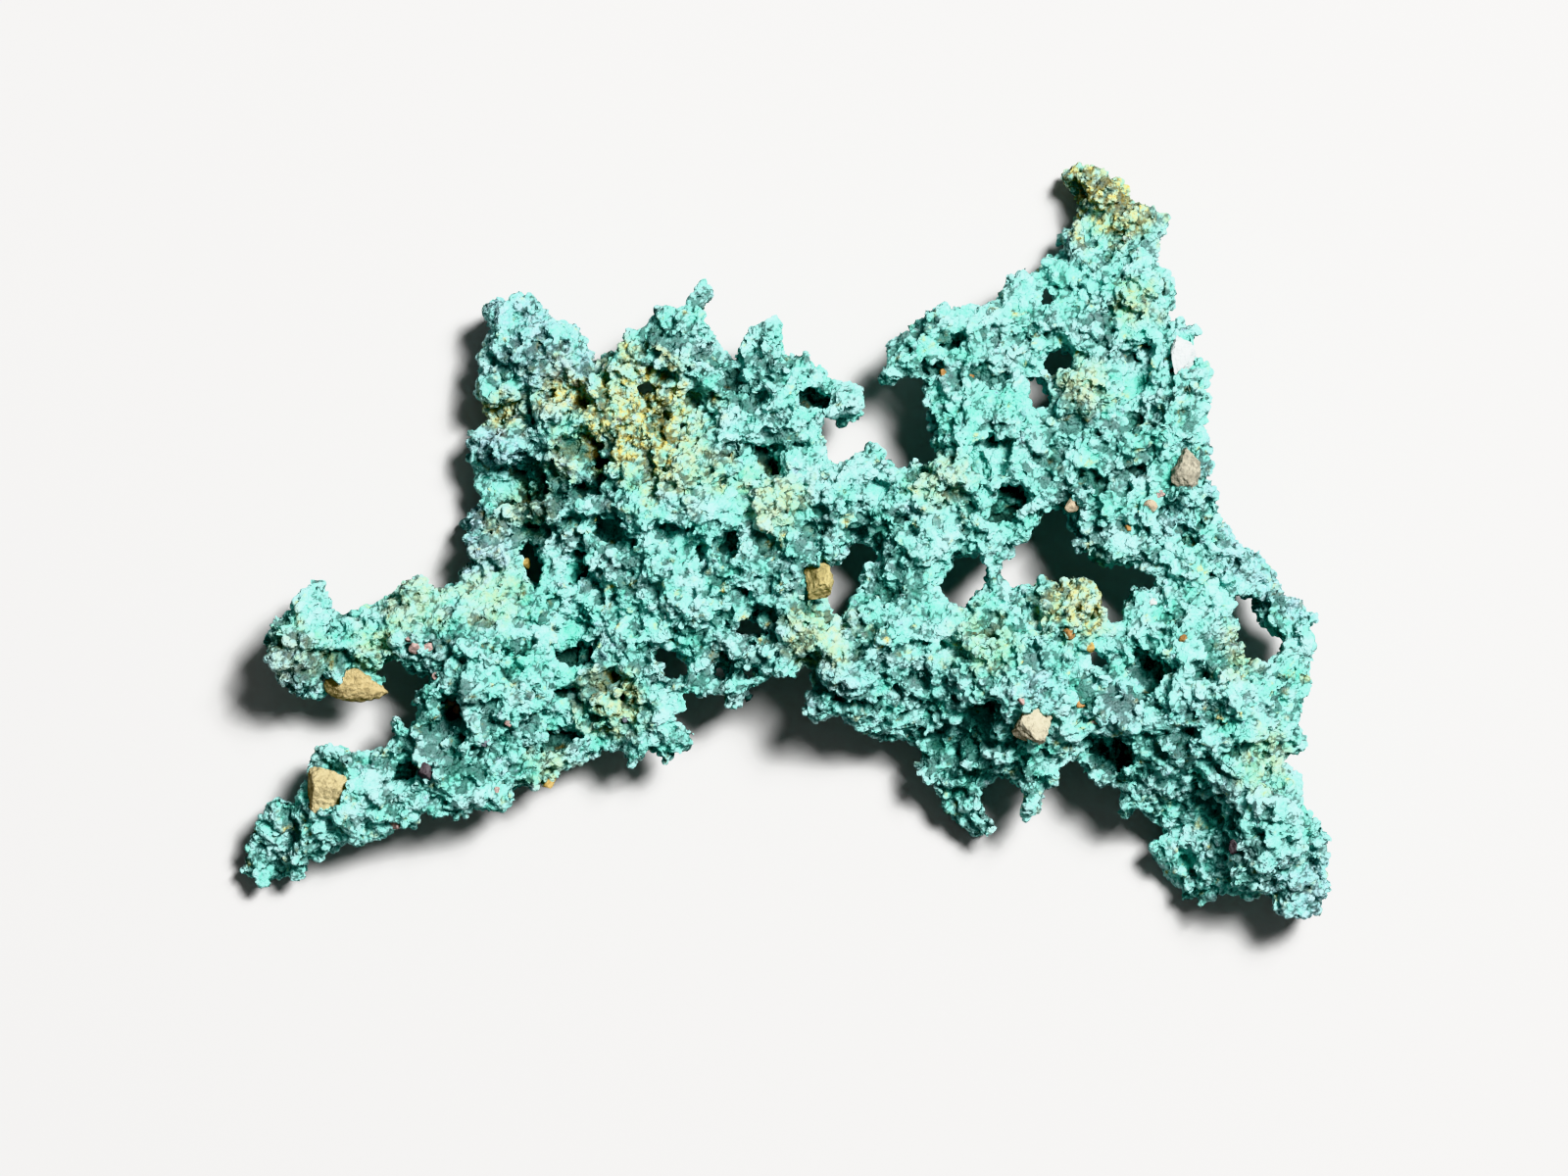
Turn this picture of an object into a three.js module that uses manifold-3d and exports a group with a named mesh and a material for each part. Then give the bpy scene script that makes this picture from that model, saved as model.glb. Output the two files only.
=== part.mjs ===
// A native copper nugget: a lacy, lumpy sheet of copper sponge under a green crust, lying on its back,
// with a few crumbs of its host rock still caught in it. Millimetres, +Z up, resting on z = 0.
import * as THREE from "three";
import { ConvexGeometry } from "three/addons/geometries/ConvexGeometry.js";
import { mergeVertices } from "three/addons/utils/BufferGeometryUtils.js";
import Module from "manifold-3d";

// Driving dimensions
const SPAN = 60; // the nugget's length, from the lower arm's tip to the foot's tip
const RIM_HALF = 0.6; // half the sheet's thickness at its rim
const FULL_HALF = 1.9; // half its thickness away from the rim
const ROUNDING = 2.6; // how far in from the rim it reaches that thickness
const GRID = 1.15; // spacing of the sheet's facets
const GRID_STRAY = 0.3; // how far a corner strays from its place on that grid, as a share of the spacing
const LUMP_SPACING = 1.9; // least distance between two lumps of the relief
const LUMP_RADIUS = [1.3, 2.4]; // smallest and largest
const LUMP_RISE = [0.5, 1.3]; // how far they stand out of the sheet
const LUMP_TRIES = 3000; // places tried for lumps on each face
const HEIGHT_REACH = 0.7; // how far around its place a given height holds
const HEIGHT_FADE = 3; // how fast a given height loses its say further away
const CRUMB_GAP = 0.3; // clearance between a crumb of rock and the copper around it
const CRUMB_ROUGHNESS = 0.13; // how far a crumb's corners are pushed in or out, as a share of its size
const CRUMB_DETAIL = 1; // how often a crumb's twenty facets are split before that
const SEED = 29; // the start of the repeatable random numbers

// The plan is drawn on the picture's pixels, and PLAN_CENTRE is the pixel above the origin.
const PLAN_LEFT = 238;
const PLAN_RIGHT = 1366;
const PLAN_CENTRE = [802, 550];
const MM_PER_PIXEL = SPAN / (PLAN_RIGHT - PLAN_LEFT);

// Finish
const CRUST = { color: 0x6fb8a4, roughness: 0.9, metalness: 0 };
const ROCK = { roughness: 0.85, metalness: 0 };

const RIM = [
  // left crown
  [492, 306], [507, 304], [518, 310], [522, 297], [533, 294], [551, 304], [554, 314], [566, 324],
  [586, 331], [597, 345], [601, 361], [613, 362], [621, 349], [638, 339], [652, 329], [668, 315],
  [684, 314], [699, 317],
  // knob on its stalk
  [703, 309], [702, 302], [710, 296], [712, 285], [719, 282], [729, 297], [727, 309], [718, 313],
  [719, 322],
  // middle crown
  [731, 333], [737, 354], [751, 358], [763, 338], [776, 326], [797, 324], [801, 337], [799, 348],
  [807, 357], [826, 355], [829, 366], [840, 375], [856, 388],
  // disc
  [872, 390], [884, 407], [880, 422], [863, 434], [847, 427], [838, 424], [842, 440],
  // notch between the two wings
  [851, 452], [847, 464], [856, 470], [879, 459], [887, 449], [894, 459], [912, 472], [922, 475],
  [936, 465], [952, 461], [955, 441], [944, 420], [943, 405], [948, 399],
  // horn
  [937, 385], [906, 393], [892, 389], [902, 375], [906, 364], [904, 351], [918, 338], [923, 329],
  [938, 326], [942, 314], [961, 306], [976, 308], [984, 313], [1005, 307], [1015, 309], [1023, 298],
  [1026, 285], [1040, 274], [1054, 279], [1067, 258], [1086, 253],
  // spire
  [1080, 242], [1085, 232], [1100, 226], [1096, 205], [1090, 185], [1083, 177], [1091, 167],
  [1116, 157], [1138, 171], [1153, 180], [1157, 194], [1174, 198], [1183, 207], [1196, 214],
  [1191, 230], [1184, 246], [1187, 272], [1198, 290], [1202, 307], [1191, 322],
  // right edge
  [1212, 328], [1221, 340], [1222, 358], [1236, 374], [1236, 397], [1239, 411], [1233, 433],
  [1238, 448], [1243, 470], [1237, 492], [1240, 514], [1251, 538], [1272, 558], [1288, 558],
  // loop
  [1303, 580], [1314, 604], [1330, 611], [1340, 628], [1334, 642], [1343, 662], [1339, 684],
  [1342, 697], [1331, 714], [1323, 736], [1333, 755], [1328, 767], [1304, 777],
  // foot
  [1319, 781], [1329, 802], [1327, 822], [1343, 834], [1357, 862], [1352, 887], [1364, 902],
  [1365, 918], [1352, 928], [1351, 939], [1334, 942], [1328, 930], [1306, 930], [1298, 915],
  [1277, 922], [1250, 917], [1226, 927], [1210, 918], [1207, 904], [1180, 878], [1172, 862],
  [1192, 853], [1168, 827],
  // fangs
  [1157, 826], [1148, 840], [1143, 828], [1148, 809], [1124, 803], [1105, 793], [1105, 779],
  [1088, 772], [1074, 785], [1080, 804], [1067, 809], [1062, 822], [1048, 836], [1042, 828],
  [1047, 805], [1034, 802], [1018, 792],
  // claw
  [1006, 802], [1003, 822], [1016, 842], [1010, 853], [998, 857], [966, 838], [957, 824],
  [960, 811], [940, 783], [932, 757],
  // lower band
  [912, 757], [885, 755], [868, 736], [848, 728], [834, 735], [820, 727], [820, 708], [828, 700],
  [820, 682], [809, 694], [796, 681],
  // left wing's lower edge
  [790, 690], [766, 704], [753, 723], [744, 726], [733, 710], [712, 712], [699, 708], [700, 724],
  [684, 726], [712, 754], [707, 766], [686, 772], [677, 780], [666, 764], [657, 775], [641, 787],
  [642, 774], [630, 762], [606, 773], [585, 780], [583, 789], [552, 805], [527, 804],
  // root of the arms
  [524, 820], [511, 836], [489, 828], [476, 839], [456, 834], [445, 840], [429, 832], [428, 847],
  [405, 851],
  // lower arm
  [389, 859], [371, 860], [367, 870], [356, 860], [337, 867], [321, 880], [302, 899], [258, 908],
  [238, 890], [247, 872], [251, 848], [262, 843], [268, 818], [281, 810], [293, 819], [307, 808],
  [311, 781], [323, 757], [338, 756], [358, 768], [389, 757],
  // fork of the arms
  [398, 756], [396, 743], [401, 728], [415, 746], [424, 731], [434, 724], [418, 719], [420, 706],
  [436, 690], [412, 680], [396, 673],
  // upper arm
  [390, 682], [352, 692], [329, 691], [328, 706], [303, 714], [281, 697], [275, 676], [266, 658],
  [271, 647], [284, 631], [298, 615], [316, 596], [324, 594], [338, 610], [346, 623], [380, 612],
  [402, 598], [414, 585], [430, 586], [441, 602], [462, 590],
  // left cluster
  [472, 577], [478, 557], [464, 535], [470, 521], [489, 512], [480, 494], [479, 474], [475, 459],
  [490, 444], [490, 420], [482, 400], [488, 376], [490, 350], [500, 338], [494, 320],
];

// The windows that go right through the sheet
const WINDOWS = {
  crown: [[648, 391], [668, 387], [672, 399], [651, 400]],
  cluster: [[531, 558], [541, 556], [545, 573], [552, 588], [542, 597], [534, 580]],
  leftWing: [[672, 667], [690, 667], [700, 680], [691, 692], [681, 684]],
  leftWingSlit: [[748, 636], [764, 635], [778, 642], [773, 648], [758, 645]],
  leftWingPit: [[683, 433], [696, 431], [698, 437], [685, 439]],
  leftWingSpot: [[761, 653], [771, 652], [772, 661], [762, 662]],
  leftWingCorner: [[760, 685], [770, 683], [772, 689], [763, 692]],
  leftWingEdge: [[730, 685], [738, 684], [739, 692], [731, 693]],
  leftBridge: [
    [881, 548], [906, 570], [881, 580], [877, 600], [863, 607], [861, 622], [842, 618], [838, 604],
    [845, 588], [868, 562],
  ],
  rightBridge: [
    [971, 571], [1000, 562], [1008, 578], [1005, 597], [978, 622], [962, 608], [957, 592],
  ],
  great: [
    [1073, 520], [1085, 523], [1092, 556], [1118, 575], [1140, 573], [1164, 579], [1178, 592],
    [1176, 600], [1154, 594], [1147, 612], [1151, 638], [1126, 641], [1119, 602], [1104, 590],
    [1070, 588], [1030, 598], [1020, 588], [1031, 568], [1030, 554], [1046, 549],
  ],
  slot: [[1109, 661], [1132, 669], [1124, 680], [1114, 675]],
  loop: [
    [1262, 609], [1273, 612], [1285, 643], [1308, 650], [1304, 663], [1287, 675], [1275, 665],
    [1266, 640],
  ],
  spire: [[1062, 293], [1071, 289], [1075, 301], [1070, 313], [1063, 312]],
  wing: [[1069, 358], [1086, 355], [1093, 365], [1085, 376], [1071, 383], [1065, 370]],
  wingLower: [[1049, 387], [1061, 385], [1065, 398], [1062, 413], [1053, 417], [1047, 402]],
};

// The height of the sheet's middle at places on the plan: it arches over the lower band and comes down
// to the surface under the left cluster, the lower arm's tip, the spire, the claw and the foot.
const HEIGHTS = [
  { at: [545, 360], z: 2.6 }, // left crown
  { at: [500, 460], z: 1.8 }, // left cluster
  { at: [490, 535], z: 1.9 },
  { at: [575, 600], z: 3.0 }, // valley between the arms' root and the left wing
  { at: [590, 745], z: 3.2 },
  { at: [680, 355], z: 5.4 }, // left wing
  { at: [700, 520], z: 6.4 },
  { at: [820, 520], z: 6.0 },
  { at: [690, 720], z: 4.8 },
  { at: [863, 412], z: 5.0 }, // disc
  { at: [500, 700], z: 6.0 }, // root of the arms
  { at: [300, 660], z: 4.4 }, // upper arm
  { at: [440, 800], z: 4.8 }, // lower arm
  { at: [335, 815], z: 3.6 },
  { at: [262, 885], z: 0.9 },
  { at: [930, 560], z: 5.2 }, // bridge
  { at: [960, 350], z: 4.6 }, // horn
  { at: [1130, 195], z: 1.5 }, // spire
  { at: [1140, 300], z: 4.2 },
  { at: [1020, 460], z: 6.0 }, // right wing
  { at: [1155, 390], z: 4.4 },
  { at: [1210, 420], z: 6.4 },
  { at: [850, 690], z: 6.4 }, // lower band
  { at: [1040, 700], z: 8.0 },
  { at: [1230, 720], z: 8.0 },
  { at: [1315, 615], z: 5.0 }, // loop
  { at: [950, 785], z: 2.8 }, // claw
  { at: [990, 843], z: 1.0 },
  { at: [1050, 820], z: 5.2 }, // fang
  { at: [1290, 850], z: 6.0 }, // foot
  { at: [1210, 890], z: 1.7 },
  { at: [1342, 920], z: 3.2 },
];

// The largest lumps in its upper face, and how far they rise
const LUMPS = [
  { at: [545, 352], radius: 2.8, rise: 1.4 }, // left crown
  { at: [512, 452], radius: 1.8, rise: 1.3 }, // left cluster
  { at: [552, 440], radius: 2.1, rise: 2.0 },
  { at: [580, 512], radius: 1.5, rise: 1.4 },
  { at: [500, 545], radius: 1.7, rise: 0.9 },
  { at: [668, 345], radius: 2.2, rise: 1.2 }, // left wing
  { at: [780, 350], radius: 1.7, rise: 1.0 },
  { at: [863, 411], radius: 1.3, rise: 1.1 }, // disc
  { at: [960, 335], radius: 2.2, rise: 1.0 }, // horn
  { at: [1135, 205], radius: 2.4, rise: 1.4 }, // spire
  { at: [1120, 420], radius: 2.4, rise: 1.2 }, // right wing
  { at: [1205, 410], radius: 1.8, rise: 1.2 },
  { at: [1078, 628], radius: 1.9, rise: 1.2 }, // lower band
  { at: [900, 640], radius: 2.6, rise: 1.3 },
  { at: [860, 690], radius: 2.2, rise: 1.2 },
  { at: [1050, 705], radius: 2.4, rise: 1.2 },
  { at: [1270, 720], radius: 2.8, rise: 1.4 },
  { at: [1305, 835], radius: 2.8, rise: 1.8 }, // foot
  { at: [306, 655], radius: 2.0, rise: 1.2 }, // upper arm
  { at: [440, 790], radius: 2.4, rise: 1.4 }, // lower arm
];

// The deep dark pits in its upper face, and how far they sink
const PITS = [
  { at: [520, 492], radius: 1.5, sink: 1.3 }, // under the left cluster
  { at: [595, 495], radius: 1.4, sink: 1.5 },
  { at: [622, 545], radius: 1.3, sink: 1.5 },
  { at: [570, 565], radius: 1.4, sink: 1.4 }, // valley beside the arms
  { at: [580, 655], radius: 1.5, sink: 1.2 },
  { at: [580, 740], radius: 1.4, sink: 1.2 },
  { at: [705, 420], radius: 1.4, sink: 2.2 }, // left wing
  { at: [783, 474], radius: 1.4, sink: 1.8 },
  { at: [742, 557], radius: 1.3, sink: 1.5 },
  { at: [690, 552], radius: 1.3, sink: 1.4 },
  { at: [833, 408], radius: 1.2, sink: 1.4 }, // beside the disc
  { at: [894, 500], radius: 1.1, sink: 1.2 }, // bridge
  { at: [962, 352], radius: 1.2, sink: 1.2 }, // horn
  { at: [1012, 468], radius: 1.4, sink: 1.5 }, // right wing
  { at: [1025, 515], radius: 1.4, sink: 1.4 },
  { at: [1158, 362], radius: 1.3, sink: 1.9 }, // groove beside the spire
  { at: [1157, 402], radius: 1.3, sink: 1.9 },
  { at: [1245, 592], radius: 1.2, sink: 1.3 }, // root of the loop
  { at: [1060, 622], radius: 1.1, sink: 1.6 }, // lower band
  { at: [1150, 682], radius: 1.4, sink: 2.4 },
  { at: [1172, 692], radius: 1.1, sink: 2.0 },
  { at: [968, 664], radius: 1.1, sink: 1.3 },
  { at: [1010, 732], radius: 1.5, sink: 1.4 },
  { at: [905, 732], radius: 1.4, sink: 1.2 },
  { at: [1125, 770], radius: 1.7, sink: 2.0 },
  { at: [1222, 830], radius: 1.9, sink: 2.2 }, // foot
  { at: [1215, 875], radius: 1.6, sink: 1.4 },
  { at: [410, 788], radius: 1.3, sink: 1.4 }, // lower arm
  { at: [452, 728], radius: 1.2, sink: 1.1 },
];

// Crumbs of host rock caught in the copper: half sizes along X, Y and Z, height over the sheet's middle
const CRUMBS = [
  { name: "ochre_crumb_lower_arm", at: [335, 806], half: [1.25, 1.15, 0.8], lift: 1.5, tint: 0xc9954c },
  { name: "ochre_crumb_upper_arm", at: [366, 695], half: [1.5, 0.85, 0.7], lift: 0.0, tint: 0xc08a45 },
  { name: "ochre_crumb_bridge", at: [833, 591], half: [0.6, 0.8, 0.6], lift: 1.2, tint: 0xc8923d },
  { name: "tan_crumb_lower_band", at: [1052, 741], half: [0.85, 1.15, 0.8], lift: 1.9, tint: 0xd8b98d },
  { name: "tan_crumb_right_edge", at: [1207, 482], half: [0.65, 1.2, 0.7], lift: 1.6, tint: 0xd6b183 },
  { name: "quartz_grain", at: [1206, 363], half: [0.5, 0.95, 0.5], lift: 1.5, tint: 0xf2efec },
];

const wasm = await Module();
wasm.setup();

// A repeatable source of numbers from 0 to 1
function seededRandom(seed) {
  let state = seed;
  return () => {
    state = (state + 0x6d2b79f5) | 0;
    let mixed = Math.imul(state ^ (state >>> 15), 1 | state);
    mixed = (mixed + Math.imul(mixed ^ (mixed >>> 7), 61 | mixed)) ^ mixed;
    return ((mixed ^ (mixed >>> 14)) >>> 0) / 2 ** 32;
  };
}
const random = seededRandom(SEED);
const spread = (reach) => (2 * random() - 1) * reach;
const between = ([low, high]) => low + random() * (high - low);

const toPlan = ([column, row]) =>
  new THREE.Vector2(column - PLAN_CENTRE[0], PLAN_CENTRE[1] - row).multiplyScalar(MM_PER_PIXEL);
const placed = (list) => list.map((entry) => ({ ...entry, at: toPlan(entry.at) }));
const rim = RIM.map(toPlan);
const windows = Object.values(WINDOWS).map((outline) => outline.map(toPlan));
const heights = placed(HEIGHTS);
const planBox = new THREE.Box2().setFromPoints(rim);

// Whether a point lies inside a closed outline
function isInside(outline, point) {
  let inside = false;
  outline.forEach((a, i) => {
    const b = outline[(i + 1) % outline.length];
    if (a.y > point.y === b.y > point.y) return;
    if (point.x < a.x + ((b.x - a.x) * (point.y - a.y)) / (b.y - a.y)) inside = !inside;
  });
  return inside;
}

// The distance from a point to a closed outline
function distanceTo(outline, point) {
  const nearest = outline.map((a, i) => {
    const along = outline[(i + 1) % outline.length].clone().sub(a);
    const share = THREE.MathUtils.clamp(point.clone().sub(a).dot(along) / along.lengthSq(), 0, 1);
    return along.multiplyScalar(share).add(a).distanceTo(point);
  });
  return Math.min(...nearest);
}

// The distance from a point of the plan to the nearest edge: nothing outside the rim or in a window
function roomAt(point) {
  if (!isInside(rim, point) || windows.some((outline) => isInside(outline, point))) return 0;
  return Math.min(...[rim, ...windows].map((outline) => distanceTo(outline, point)));
}

// The height of the sheet's middle, from the heights given, the nearest counting most
function heightAt(point) {
  let sum = 0;
  let weights = 0;
  for (const { at, z } of heights) {
    const weight = 1 / Math.hypot(at.distanceTo(point), HEIGHT_REACH) ** HEIGHT_FADE;
    sum += weight * z;
    weights += weight;
  }
  return sum / weights;
}

// Half the sheet's thickness: a quarter round from the rim inwards
function halfThicknessAt(point) {
  const share = Math.min(roomAt(point) / ROUNDING, 1);
  return RIM_HALF + (FULL_HALF - RIM_HALF) * Math.sqrt(1 - (1 - share) ** 2);
}

// Small lumps all over one face of the sheet, no two closer than their spacing
function scatteredLumps() {
  const lumps = [];
  for (let i = 0; i < LUMP_TRIES; i += 1) {
    const at = new THREE.Vector2(
      between([planBox.min.x, planBox.max.x]),
      between([planBox.min.y, planBox.max.y]),
    );
    if (lumps.some((lump) => lump.at.distanceTo(at) < LUMP_SPACING)) continue;
    lumps.push({ at, radius: between(LUMP_RADIUS), rise: between(LUMP_RISE) });
  }
  return lumps;
}

// How far the tallest of some lumps, or the deepest of some pits, reaches at a point
function reliefAt(point, bumps, measure) {
  const reaches = bumps.map((bump) => {
    const share = bump.at.distanceToSquared(point) / bump.radius ** 2;
    return share < 1 ? bump[measure] * (1 - share) : 0;
  });
  return Math.max(...reaches);
}

function toSolid(geometry) {
  geometry.deleteAttribute("normal");
  geometry.deleteAttribute("uv");
  const merged = mergeVertices(geometry);
  const vertProperties = new Float32Array(merged.getAttribute("position").array);
  const triVerts = new Uint32Array(merged.index.array);
  return new wasm.Manifold(new wasm.Mesh({ numProp: 3, vertProperties, triVerts }));
}

function toMesh(name, solid, material) {
  const { vertProperties, triVerts } = solid.getMesh();
  const geometry = new THREE.BufferGeometry();
  geometry.setAttribute("position", new THREE.BufferAttribute(vertProperties, 3));
  geometry.setIndex(new THREE.BufferAttribute(triVerts, 1));
  geometry.computeVertexNormals();
  const mesh = new THREE.Mesh(geometry, material);
  mesh.name = name;
  return mesh;
}

// The sheet before it is cut to its plan: a fine-celled slab with its two faces bent into the relief
function reliefSlab() {
  const margin = 2 * GRID;
  const size = planBox.getSize(new THREE.Vector2()).addScalar(2 * margin);
  const cells = size.clone().divideScalar(GRID).ceil();
  const slab = new THREE.BoxGeometry(size.x, size.y, 2 * FULL_HALF, cells.x, cells.y, 1);
  slab.deleteAttribute("normal");
  slab.deleteAttribute("uv");
  const geometry = mergeVertices(slab);
  const middle = planBox.getCenter(new THREE.Vector2());
  const upperLumps = [...placed(LUMPS), ...scatteredLumps()];
  const lowerLumps = scatteredLumps();
  const pits = placed(PITS);
  const corners = geometry.getAttribute("position");
  for (let i = 0; i < corners.count; i += 1) {
    const point = new THREE.Vector2(corners.getX(i), corners.getY(i)).add(middle);
    point.x += spread(GRID_STRAY * GRID);
    point.y += spread(GRID_STRAY * GRID);
    const half = halfThicknessAt(point);
    const share = half / FULL_HALF;
    const upper = half + share * (reliefAt(point, upperLumps, "rise") - reliefAt(point, pits, "sink"));
    const lower = half + share * reliefAt(point, lowerLumps, "rise");
    const z = heightAt(point) + (corners.getZ(i) > 0 ? upper : -lower);
    corners.setXYZ(i, point.x, point.y, z);
  }
  return geometry;
}

// An outline of the plan, drawn up through the whole height
function prism(outline) {
  const tall = SPAN / 2;
  const settings = { depth: tall, bevelEnabled: false };
  return new THREE.ExtrudeGeometry(new THREE.Shape(outline), settings).translate(0, 0, -tall / 2);
}

// All that would reach under the surface that the nugget lies on
function underFloor() {
  const side = 2 * SPAN;
  return new THREE.BoxGeometry(side, side, side).translate(0, 0, -side / 2);
}

// A crumb of rock and the pocket that it sits in, which is the same crumb grown by the gap
function crumbAndPocket({ at, half, lift }) {
  const ball = new THREE.IcosahedronGeometry(1, CRUMB_DETAIL).getAttribute("position");
  const corners = [];
  for (let i = 0; i < ball.count; i += 1) {
    const corner = new THREE.Vector3().fromBufferAttribute(ball, i);
    corners.push(corner.multiplyScalar(1 + spread(CRUMB_ROUGHNESS)));
  }
  const rough = new ConvexGeometry(corners);
  const pocketHalf = half.map((reach) => reach + CRUMB_GAP / (1 - CRUMB_ROUGHNESS));
  const centre = [at.x, at.y, heightAt(at) + lift];
  return [half, pocketHalf].map((reach) => toSolid(rough.clone().scale(...reach).translate(...centre)));
}

const crumbs = placed(CRUMBS).map((crumb) => ({ ...crumb, solids: crumbAndPocket(crumb) }));
const pockets = crumbs.map(({ solids }) => solids[1]);
const sheet = toSolid(reliefSlab()).intersect(toSolid(prism(rim)));
const cuts = [underFloor(), ...windows.map(prism)].map(toSolid);
const copper = sheet.subtract(wasm.Manifold.union([...cuts, ...pockets]));

const nugget = new THREE.Group();
nugget.add(toMesh("copper_nugget", copper, new THREE.MeshStandardMaterial(CRUST)));
for (const { name, solids, tint } of crumbs) {
  nugget.add(toMesh(name, solids[0], new THREE.MeshStandardMaterial({ ...ROCK, color: tint })));
}

// The origin lies under the middle of the nugget's box.
const middle = new THREE.Box3().setFromObject(nugget).getCenter(new THREE.Vector3());
nugget.position.set(-middle.x, -middle.y, 0);
const part = new THREE.Group();
part.add(nugget);

export default part;
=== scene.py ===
"""Looks of the native copper nugget: a crumbly green crust on the CAD solid, with its crumbs of rock."""

from collections import namedtuple

import bmesh
import bpy
import numpy as np
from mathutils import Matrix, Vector, noise
from mathutils.bvhtree import BVHTree


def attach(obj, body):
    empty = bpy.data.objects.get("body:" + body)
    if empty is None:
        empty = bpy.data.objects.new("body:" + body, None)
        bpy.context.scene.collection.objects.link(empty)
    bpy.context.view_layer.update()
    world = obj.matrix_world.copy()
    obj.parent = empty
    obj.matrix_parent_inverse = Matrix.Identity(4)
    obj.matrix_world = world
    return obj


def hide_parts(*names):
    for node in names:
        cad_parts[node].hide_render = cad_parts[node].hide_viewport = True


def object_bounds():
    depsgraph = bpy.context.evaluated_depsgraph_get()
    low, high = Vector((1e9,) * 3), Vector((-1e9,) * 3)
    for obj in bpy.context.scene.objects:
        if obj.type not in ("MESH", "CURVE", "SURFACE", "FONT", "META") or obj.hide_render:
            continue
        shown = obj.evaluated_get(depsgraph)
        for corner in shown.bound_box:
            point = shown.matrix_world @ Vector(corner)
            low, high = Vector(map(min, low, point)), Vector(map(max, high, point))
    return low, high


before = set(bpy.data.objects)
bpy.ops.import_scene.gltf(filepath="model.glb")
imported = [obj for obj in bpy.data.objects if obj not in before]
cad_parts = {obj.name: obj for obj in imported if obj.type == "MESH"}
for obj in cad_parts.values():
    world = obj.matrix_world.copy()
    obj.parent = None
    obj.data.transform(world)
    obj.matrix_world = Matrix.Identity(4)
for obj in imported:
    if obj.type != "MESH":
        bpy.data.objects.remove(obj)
cad_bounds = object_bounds()

# Shapes are worked out in millimetres and written to their meshes in metres.
MM = 0.001
SEED = 11
rng = np.random.default_rng(SEED)

# The plan is read on the picture's pixels, as in the CAD.
LENGTH = (cad_bounds[1].x - cad_bounds[0].x) / MM
MIDDLE = 0.5 * cad_bounds[1].z / MM
PIXELS_LONG = 1127.0
MM_PER_PIXEL = LENGTH / PIXELS_LONG
PLAN_CENTRE = np.array([801.5, 550.5])
PICTURE_WIDTH = 1600
PICTURE_CENTRE = np.array([800.0, 600.0])

# The crust, in layers from large to small: cells of a size, how far they are pushed out of shape, how far
# each domes, how far neighbours step apart, and how wide and deep the crevices between them are.
Layer = namedtuple("Layer", "cell warp dome step width depth")
LOBES = Layer(cell=2.4, warp=0.9, dome=0.9, step=0.6, width=0.12, depth=0.65)
CLUMPS = Layer(cell=1.2, warp=0.5, dome=0.9, step=0.4, width=0.12, depth=0.4)
NODULES = Layer(cell=0.62, warp=0.22, dome=0.55, step=0.12, width=0.08, depth=0.08)
GRANULES = Layer(cell=0.27, warp=0.08, dome=0.16, step=0.05, width=0.1, depth=0.03)

# In every layer: how far out of its middle a cell is neither raised nor sunk, as a square, how crevices open
# and close along their run, and the share of their width that slopes
DOME_LEVEL = 0.28
CREVICE_MEAN = 0.9
CREVICE_SWAY = 1.6
CREVICE_LIMITS = (0.02, 2.2)
CREVICE_RUN = 2.5
CREVICE_SLOPE = 0.45

# The crust's place on the solid: its mean height, how far it hangs over sideways, and what share of its
# relief is left on rims and where the solid is thin
CRUST_TOP = -0.3
OVERHANG = 0.3
RIM_SHARE = 0.65
FULL_THICKNESS = 3.0
THIN_SHARE = 0.25

# Grids on which shapes are fused, and the number of patches that keeps each mesh of a handy size
BASE_VOXEL = 0.14
SKIN_VOXEL = 0.143
SKIN_PATCHES = 5
SMOOTHING_ROUNDS = 1

# Around a crumb of rock, which is grown a little first, the crust sinks, so that the crumb lies open: how
# near it has to be, and how far the crust sinks, but by no more than one part in a few of the thickness
ROCK_GROWTH = 0.4
ROCK_CLEAR = 0.12
ROCK_SINK = 0.9
ROCK_SINK_PART = 3

# Where in the noise each use of it looks, so that no two show the same pattern
SHIFTS = {
    "base": 7.0, "skin": 13.0, "axis": 29.0, "crevice_and_painted_shade": 61.0, "pit": 97.0, "boss": 53.0,
    "tone_and_painted_light": 11.0, "ochre": 37.0, "slate": 83.0,
}
OCTAVE_STEP = 2.1

# Deep pits, darkened further by painted shade that grows with depth: place and half widths in pixels
PITS = [
    (520, 492, 42, 17), (598, 470, 14, 20), (590, 575, 15, 30), (582, 640, 14, 35), (578, 710, 14, 35),
    (578, 755, 14, 15), (783, 474, 13, 12), (745, 555, 10, 12), (688, 546, 25, 8), (610, 540, 9, 24),
    (666, 498, 12, 10), (750, 492, 15, 8), (676, 386, 11, 9), (785, 383, 9, 13), (636, 562, 13, 8),
    (833, 410, 12, 16), (1158, 381, 17, 38), (1012, 468, 22, 16), (1020, 506, 30, 9), (1030, 529, 22, 12),
    (894, 500, 11, 16), (947, 506, 11, 9), (968, 662, 12, 9), (1057, 628, 12, 24), (1085, 655, 24, 8),
    (1010, 732, 25, 15), (870, 725, 35, 9), (940, 729, 35, 9), (955, 785, 20, 22), (1120, 776, 33, 22),
    (1222, 830, 24, 42), (1212, 885, 18, 28), (410, 788, 15, 22), (615, 692, 9, 8), (625, 718, 8, 8),
    (1140, 676, 28, 9), (1166, 690, 13, 12), (448, 728, 12, 10), (962, 352, 10, 10), (640, 590, 10, 8),
    (1245, 592, 12, 10), (1185, 530, 14, 8), (810, 560, 9, 8), (540, 655, 10, 9), (480, 690, 9, 7),
    (532, 321, 6, 7), (583, 401, 30, 13), (510, 421, 24, 10), (539, 438, 9, 10), (591, 453, 9, 14),
    (585, 530, 12, 10), (748, 389, 9, 12), (716, 383, 9, 8), (774, 408, 5, 16), (720, 469, 5, 14),
]
# A pit's depth, how steeply it falls from its edge, and how far around it the edge is ragged
PIT_DEPTH = 0.95
PIT_STEEPNESS = 1.5
PIT_RIM = 0.3

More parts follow.
